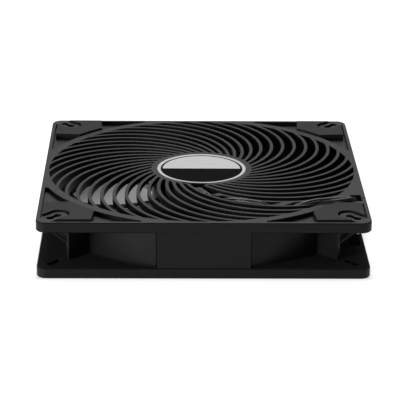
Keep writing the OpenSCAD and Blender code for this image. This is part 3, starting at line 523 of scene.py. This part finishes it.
def mouldFinish(name, ownLook):
    # moulded plastic or rubber: the shared skin with this finish's own values
    look = {**mouldUsual, **ownLook}
    mat, tree, shader = newFinish(name)
    skin = useGroup(tree, mouldedSkin, Colour=(*look["colour"], 1), Tone=look["tone"],
                    Roughness=look["rough"], Spread=look["spread"], Grain=look["grain"], Dust=look["dust"])
    tree.links.new(skin.outputs["Colour"], shader.inputs["Base Color"])
    rough = skin.outputs["Roughness"]
    if "dull" in look:
        # the roughness rises to its most in thin layers of heights, each from low to high
        place = addNode(tree, "TexCoord").outputs["Object"]
        height = addNode(tree, "SeparateXYZ", {0: place}).outputs[2]
        for low, high in look["dull"]:
            above = rangeNode(tree, height, (low - look["dullEdge"]) * mm, low * mm)
            below = rangeNode(tree, height, high * mm, (high + look["dullEdge"]) * mm, 1.0, 0.0)
            rough = mathNode(tree, "MAXIMUM", rough, mathNode(tree, "MULTIPLY", above, below))
    tree.links.new(rough, shader.inputs["Roughness"])
    addBump(tree, shader, skin.outputs["Height"], look["bump"], look["depth"])
    shader.inputs["Specular IOR Level"].default_value = look["specular"]
    return mat


def metalFinish(name, ownLook):
    # drawn or rolled metal with fine lines in its gloss and tone
    look = {**metalUsual, **ownLook}
    mat, tree, shader = newFinish(name)
    lines = useGroup(tree, fineLines, Stretch=look["stretch"], Scale=look["scale"])
    dark = tuple(c * look["dark"] for c in look["colour"])
    colour = mixColour(tree, lines.outputs["Mask"], dark, look["colour"])
    least, most = look["rough"] - look["glossier"], look["rough"] + look["duller"]
    rough = rangeNode(tree, lines.outputs["Height"], 0.2, 0.8, least, most)
    tree.links.new(colour, shader.inputs["Base Color"])
    tree.links.new(rough, shader.inputs["Roughness"])
    shader.inputs["Metallic"].default_value = 1.0
    addBump(tree, shader, lines.outputs["Height"], look["bump"], look["depth"])
    return mat


frameLook = {"colour": (0.003, 0.003, 0.0032), "rough": 0.38, "specular": 0.15, "bump": 0.3,
             "depth": 0.00005, "dull": [(5.78, 5.95), (31.5, 31.93)], "dullEdge": 0.05}
grilleLook = {"colour": (0.003, 0.003, 0.0032), "rough": 0.38, "specular": 0.14, "bump": 0.2}
padLook = {"colour": (0.006, 0.006, 0.0063), "rough": 0.5, "specular": 0.085, "grain": 3400.0, "bump": 0.35}
bladeLook = {"colour": (0.006, 0.006, 0.0063), "rough": 0.16, "specular": 0.5, "bump": 0.04, "dust": 0.01}
tieLook = {"colour": (0.012, 0.012, 0.012), "rough": 0.5, "specular": 0.4}
housingLook = {"colour": (0.012, 0.012, 0.0125), "rough": 0.42, "specular": 0.4}
sealLook = {"colour": (0.02, 0.02, 0.02), "rough": 0.7}
magnetLook = {"colour": (0.05, 0.047, 0.045), "rough": 0.62, "grain": 4200.0, "tone": 0.5, "bump": 0.5}
whitePartLook = {"colour": (0.72, 0.72, 0.69), "rough": 0.4}
insulatorLook = {"colour": (0.62, 0.57, 0.42), "rough": 0.48}
chipLook = {"colour": (0.025, 0.025, 0.026), "rough": 0.6, "grain": 6000.0, "bump": 0.4}
capacitorLook = {"colour": (0.42, 0.29, 0.15), "rough": 0.5, "grain": 3000.0}
yokeLook = {"colour": (0.55, 0.55, 0.56), "rough": 0.36}
shaftLook = {"colour": (0.68, 0.68, 0.69), "rough": 0.2, "stretch": (1, 1, 30)}
brassLook = {"colour": (0.72, 0.5, 0.2), "rough": 0.3}
bronzeLook = {"colour": (0.5, 0.3, 0.14), "rough": 0.52, "stretch": (1, 1, 1), "bump": 0.5}
stackLook = {"colour": (0.5, 0.5, 0.52), "rough": 0.4, "stretch": (0.02, 0.02, 2.2), "dark": 0.45,
             "bump": 0.6}
copperLook = {"colour": (0.72, 0.25, 0.09), "rough": 0.28, "stretch": (2.4, 2.4, 0.05), "dark": 0.4,
              "bump": 0.7}
pinLook = {"colour": (0.7, 0.69, 0.66), "rough": 0.3}

wireLook = {"colour": (0.009, 0.009, 0.0095), "paler": 1.4, "rough": (0.32, 0.37), "specular": 0.5,
            "lines": (60.0, 3.0, 1.0), "marks": (60.0, 1.0, 1.0)}


def wireFinish(look):
    # wire jacket: faint lines along the wire and soft changes of gloss, laid by the wire's own UV
    mat, tree, shader = newFinish("wireJacket")
    place = addNode(tree, "UVMap", uv_map="surface").outputs[0]
    drawn = addNode(tree, "VectorMath", {0: place}, operation="MULTIPLY", in1=look["lines"]).outputs[0]
    lines = addNode(tree, "TexNoise", {"Vector": drawn}, in2=1.0, in3=3.0).outputs[0]
    rubbed = addNode(tree, "VectorMath", {0: place}, operation="MULTIPLY", in1=look["marks"]).outputs[0]
    marks = addNode(tree, "TexNoise", {"Vector": rubbed}, in2=1.0, in3=2.0).outputs[0]
    paler = tuple(c * look["paler"] for c in look["colour"])
    colour = mixColour(tree, rangeNode(tree, lines, 0.35, 0.75), look["colour"], paler)
    tree.links.new(colour, shader.inputs["Base Color"])
    tree.links.new(rangeNode(tree, marks, 0.3, 0.7, *look["rough"]), shader.inputs["Roughness"])
    shader.inputs["Specular IOR Level"].default_value = look["specular"]
    return mat


labelLook = {"rim": 23.5, "ring": 22.3, "printShift": -0.45, "divide": -0.4, "wallTop": (31.92, 31.93),
             "silver": (0.48, 0.48, 0.485), "foil": (0.52, 0.52, 0.525), "foilShade": 0.86,
             "black": (0.009, 0.009, 0.01), "wall": (0.05, 0.05, 0.05), "soft": 0.08,
             "brush": (0.06, 1.0, 1.0), "brushScale": 1400.0, "rough": (0.34, 0.5), "bump": 0.08,
             "depth": 0.00002}


def labelFinish(look):
    # printed label: silver rim, thin black ring, brushed silver half and black half; the print sits a
    #  little off the centre, and the label's side below its top is dark
    mat, tree, shader = newFinish("labelFilm")
    soft = look["soft"] * mm
    place = addNode(tree, "TexCoord").outputs["Object"]
    parts = addNode(tree, "SeparateXYZ", {0: place}).outputs
    shifted = addNode(tree, "VectorMath", {0: place}, operation="SUBTRACT",
                      in1=(0.0, look["printShift"] * mm, 0.0)).outputs[0]
    flat = addNode(tree, "VectorMath", {0: shifted}, operation="MULTIPLY", in1=(1.0, 1.0, 0.0)).outputs[0]
    r = addNode(tree, "VectorMath", {0: flat}, operation="LENGTH").outputs[1]
    inRim = rangeNode(tree, r, look["rim"] * mm - soft, look["rim"] * mm + soft)
    inRing = rangeNode(tree, r, look["ring"] * mm - soft, look["ring"] * mm + soft)
    farHalf = rangeNode(tree, parts[1], look["divide"] * mm - soft, look["divide"] * mm + soft)
    onTop = rangeNode(tree, parts[2], *(z * mm for z in look["wallTop"]))
    brush = useGroup(tree, fineLines, Stretch=look["brush"], Scale=look["brushScale"], Detail=3.0)
    foilDark = tuple(c * look["foilShade"] for c in look["foil"])
    foil = mixColour(tree, brush.outputs["Mask"], foilDark, look["foil"])
    field = mixColour(tree, farHalf, look["black"], foil)
    ringed = mixColour(tree, inRing, field, look["black"])
    printed = mixColour(tree, inRim, ringed, look["silver"])
    tree.links.new(mixColour(tree, onTop, look["wall"], printed), shader.inputs["Base Color"])
    rough = rangeNode(tree, brush.outputs["Height"], 0.2, 0.8, *look["rough"])
    tree.links.new(rough, shader.inputs["Roughness"])
    addBump(tree, shader, brush.outputs["Height"], look["bump"], look["depth"])
    shader.inputs["Specular IOR Level"].default_value = 0
    return mat


boardLook = {"mask": (0.012, 0.11, 0.045), "trace": (0.02, 0.19, 0.07), "cells": 260.0,
             "track": (0.08, 0.12), "rough": 0.35, "bump": 0.3, "depth": 0.00005}


def boardFinish(look):
    # green solder mask over slightly paler copper tracks
    mat, tree, shader = newFinish("boardLaminate")
    place = addNode(tree, "TexCoord").outputs["Object"]
    cells = addNode(tree, "TexVoronoi", {"Vector": place}, feature="DISTANCE_TO_EDGE", in2=look["cells"])
    tracks = rangeNode(tree, cells.outputs[0], *look["track"], 1.0, 0.0)
    tree.links.new(mixColour(tree, tracks, look["mask"], look["trace"]), shader.inputs["Base Color"])
    shader.inputs["Roughness"].default_value = look["rough"]
    addBump(tree, shader, tracks, look["bump"], look["depth"])
    return mat


finishes = {
    "frame": mouldFinish("frameMould", frameLook),
    "outlet_grille": mouldFinish("grilleMould", grilleLook),
    "corner_pads": mouldFinish("padMould", padLook),
    "hub_label": labelFinish(labelLook),
    "rotor_yoke": metalFinish("yokeSteel", yokeLook),
    "ring_magnet": mouldFinish("magnetBlock", magnetLook),
    "shaft": metalFinish("shaftSteel", shaftLook),
    "retaining_clip": mouldFinish("whitePlastic", whitePartLook),
    "shaft_bush": metalFinish("bushBrass", brassLook),
    "sleeve_bearing": metalFinish("bearingBronze", bronzeLook),
    "oil_seal": mouldFinish("sealRubber", sealLook),
    "stator_core": metalFinish("sheetStack", stackLook),
    "upper_insulator": mouldFinish("insulatorPlastic", insulatorLook),
    "stator_coils": metalFinish("windingCopper", copperLook),
    "terminal_pins": metalFinish("pinMetal", pinLook),
    "circuit_board": boardFinish(boardLook),
    "driver_chip": mouldFinish("chipResin", chipLook),
    "board_capacitor": mouldFinish("capacitorCeramic", capacitorLook),
    "lead_connector": mouldFinish("connectorMould", housingLook),
}
sameFinish = {"bearing_tube": "shaft_bush", "thrust_plate": "retaining_clip",
              "lower_insulator": "upper_insulator", "hall_sensor": "driver_chip",
              "board_resistors": "driver_chip", "connector_contacts": "shaft_bush"}
for node, other in sameFinish.items():
    finishes[node] = finishes[other]


def dress(obj, mat):
    obj.data.materials.clear()
    obj.data.materials.append(mat)


for node, mat in finishes.items():
    dress(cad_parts[node], mat)
wireJacket = wireFinish(wireLook)
dress(heldLead, wireJacket)
dress(freeLead, wireJacket)
dress(tieBand, mouldFinish("tieBand", tieLook))
dress(impeller, mouldFinish("bladeMould", bladeLook))
print("finishes set:", len(bpy.data.materials))


# what rides on what

for piece, body, nodes in ((heldLead, "frame", ["lead_wires"]), (tieBand, "frame", ["lead_tie"]),
                           (freeLead, "frame", ["lead_run", "lead_coil", "lead_end"]),
                           (impeller, "rotor", ["impeller"])):
    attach(piece, body)
    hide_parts(*nodes)
print("pieces ride on their bodies")


# floor, light and background

# the duct values paint a glow on the floor under the duct, in place of the light that comes through the
# blades
stageLook = {"floor": (0.3, 0.3, 0.3), "floorSize": 6.0, "floorRough": 0.9, "floorSpecular": 0.1,
             "lift": 0.84, "clear": (0.083, 0.093), "ductLift": (0.25, 0.09), "ductGlowReach": (0.065, 0.087),
             "ambient": 0.1, "mirrored": 0.45}


def seenRays(tree, mirrored):
    # one for what the camera sees, and the given share of it in reflections and through glass
    ray = addNode(tree, "LightPath").outputs
    bounced = mathNode(tree, "MAXIMUM", ray["Is Glossy Ray"], ray["Is Transmission Ray"])
    return mathNode(tree, "MAXIMUM", ray["Is Camera Ray"], mathNode(tree, "MULTIPLY", bounced, mirrored))


def makeFloor(spec):
    s = spec["floorSize"] / 2 / mm
    points = np.array([[-s, -s, 0], [s, -s, 0], [s, s, 0], [-s, s, 0]])
    floor = meshFrom("floor", points, np.array([[0, 1, 2, 3]]))
    mat, tree, shader = newFinish("paleFloor")
    shader.inputs["Base Color"].default_value = (*spec["floor"], 1)
    shader.inputs["Roughness"].default_value = spec["floorRough"]
    shader.inputs["Specular IOR Level"].default_value = spec["floorSpecular"]
    # the camera sees the floor brighter round the fan, so that it is white there and its shadow faint;
    #  under the duct a dimmer painted glow stands in for the light that falls through the blades, fading
    #  towards the duct's wall as painted shade
    place = addNode(tree, "TexCoord").outputs["Object"]
    parts = addNode(tree, "SeparateXYZ", {0: place}).outputs
    awayX, awayY = (mathNode(tree, "ABSOLUTE", parts[k]) for k in (0, 1))
    away = mathNode(tree, "MAXIMUM", awayX, awayY)
    around = rangeNode(tree, away, *spec["clear"], 0.0, spec["lift"], smooth=True)
    radius = addNode(tree, "VectorMath", {0: place}, operation="LENGTH").outputs[1]
    # painted glow under the duct: brighter for the camera near the middle, painted shade towards the duct's
    # wall
    paintedGlow = rangeNode(tree, radius, *spec["ductGlowReach"], *spec["ductLift"])
    lifted = mathNode(tree, "MULTIPLY", seenRays(tree, 1.0), mathNode(tree, "MAXIMUM", around, paintedGlow))
    shader.inputs["Emission Color"].default_value = (1, 1, 1, 1)
    tree.links.new(lifted, shader.inputs["Emission Strength"])
    dress(floor, mat)


def makeWorld(spec):
    # white where the camera looks, a dim grey in reflections and a plain grey fill for the rest
    world = bpy.data.worlds.new("studio")
    bpy.context.scene.world = world
    world.use_nodes = True
    tree = world.node_tree
    shader = tree.nodes["Background"]
    seen = seenRays(tree, spec["mirrored"])
    shader.inputs["Color"].default_value = (1, 1, 1, 1)
    tree.links.new(mathNode(tree, "MAXIMUM", seen, spec["ambient"]), shader.inputs["Strength"])


lamps = [{"name": "topSoftbox", "at": (0.0, 0.74, 1.5), "aim": (0, 0, 0.02),
          "size": (1.0, 1.8), "watts": 33},
         {"name": "leftSoftbox", "at": (-0.9, -0.8, 0.26), "aim": (0, 0, 0.02),
          "size": (0.5, 0.4), "watts": 16.5}]


def makeLamp(spec):
    data = bpy.data.lights.new(spec["name"], "AREA")
    data.shape = "RECTANGLE"
    data.size, data.size_y = spec["size"]
    data.energy = spec["watts"]
    obj = bpy.data.objects.new(spec["name"], data)
    away = Vector(spec["at"]) - Vector(spec["aim"])
    obj.rotation_euler = away.to_track_quat("Z", "Y").to_euler()
    obj.location = spec["at"]
    bpy.context.scene.collection.objects.link(obj)


makeFloor(stageLook)
makeWorld(stageLook)
for lamp in lamps:
    makeLamp(lamp)
bpy.context.scene.view_settings.view_transform = "Standard"
print("stage set")
